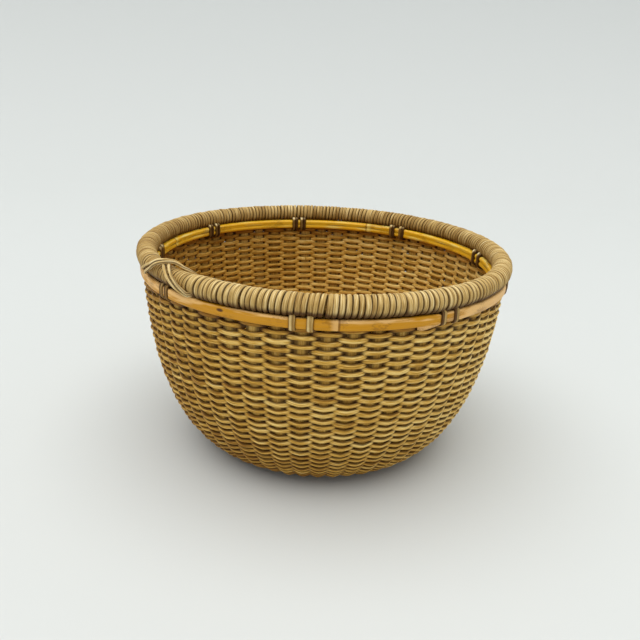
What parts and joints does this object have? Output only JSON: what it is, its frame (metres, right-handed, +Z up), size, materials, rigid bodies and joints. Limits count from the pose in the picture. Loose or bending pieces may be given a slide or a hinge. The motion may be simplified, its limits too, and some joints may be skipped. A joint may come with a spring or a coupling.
{
  "type": "woven bowl basket",
  "caption": "Round bowl basket with woven walls, a flat base, paired lashings and a rim wound with cane.",
  "frame": {"origin": "middle of the flat base, on the table", "axes": "+Z up through the open mouth; -Y is the side that faces the camera in the picture; +X to its right"},
  "size_m": [0.2359, 0.2358, 0.1361],
  "materials": {
    "weavers_and_stakes": "split cane, dry satin with dark gaps",
    "slath_rods": "split cane, dry",
    "winding_cane": "peeled cane, khaki, soft sheen",
    "outer_hoop": "worn bamboo strip, orange tan, satin",
    "inner_hoop": "bamboo strip, golden yellow, satin",
    "rim_core": "raw rod, hidden by the winding"
  },
  "bodies": {
    "root": {"weave_course_1": "weavers_and_stakes", "weave_course_2": "weavers_and_stakes", "weave_course_3": "weavers_and_stakes", "weave_course_4": "weavers_and_stakes", "base_weave": "weavers_and_stakes", "slath_lower_rod_1": "slath_rods", "slath_lower_rod_2": "slath_rods", "slath_lower_rod_3": "slath_rods", "slath_lower_rod_4": "slath_rods", "slath_lower_rod_5": "slath_rods", "slath_upper_rod_1": "slath_rods", "slath_upper_rod_2": "slath_rods", "slath_upper_rod_3": "slath_rods", "slath_upper_rod_4": "slath_rods", "outer_hoop": "outer_hoop", "inner_hoop": "inner_hoop", "rim_core": "rim_core", "rim_winding": "winding_cane", "lashing_1_left": "winding_cane", "lashing_1_right": "winding_cane", "lashing_2_left": "winding_cane", "lashing_2_right": "winding_cane", "lashing_3_left": "winding_cane", "lashing_3_right": "winding_cane", "lashing_4_left": "winding_cane", "lashing_4_right": "winding_cane", "lashing_5_left": "winding_cane", "lashing_5_right": "winding_cane", "lashing_6_left": "winding_cane", "lashing_6_right": "winding_cane", "lashing_7_left": "winding_cane", "lashing_7_right": "winding_cane", "lashing_8_left": "winding_cane", "lashing_8_right": "winding_cane", "lashing_9_left": "winding_cane", "lashing_9_right": "winding_cane", "crossing_under_left": "winding_cane", "crossing_under_right": "winding_cane", "crossing_over_left": "winding_cane", "crossing_over_right": "winding_cane"}
  },
  "joints": []
}
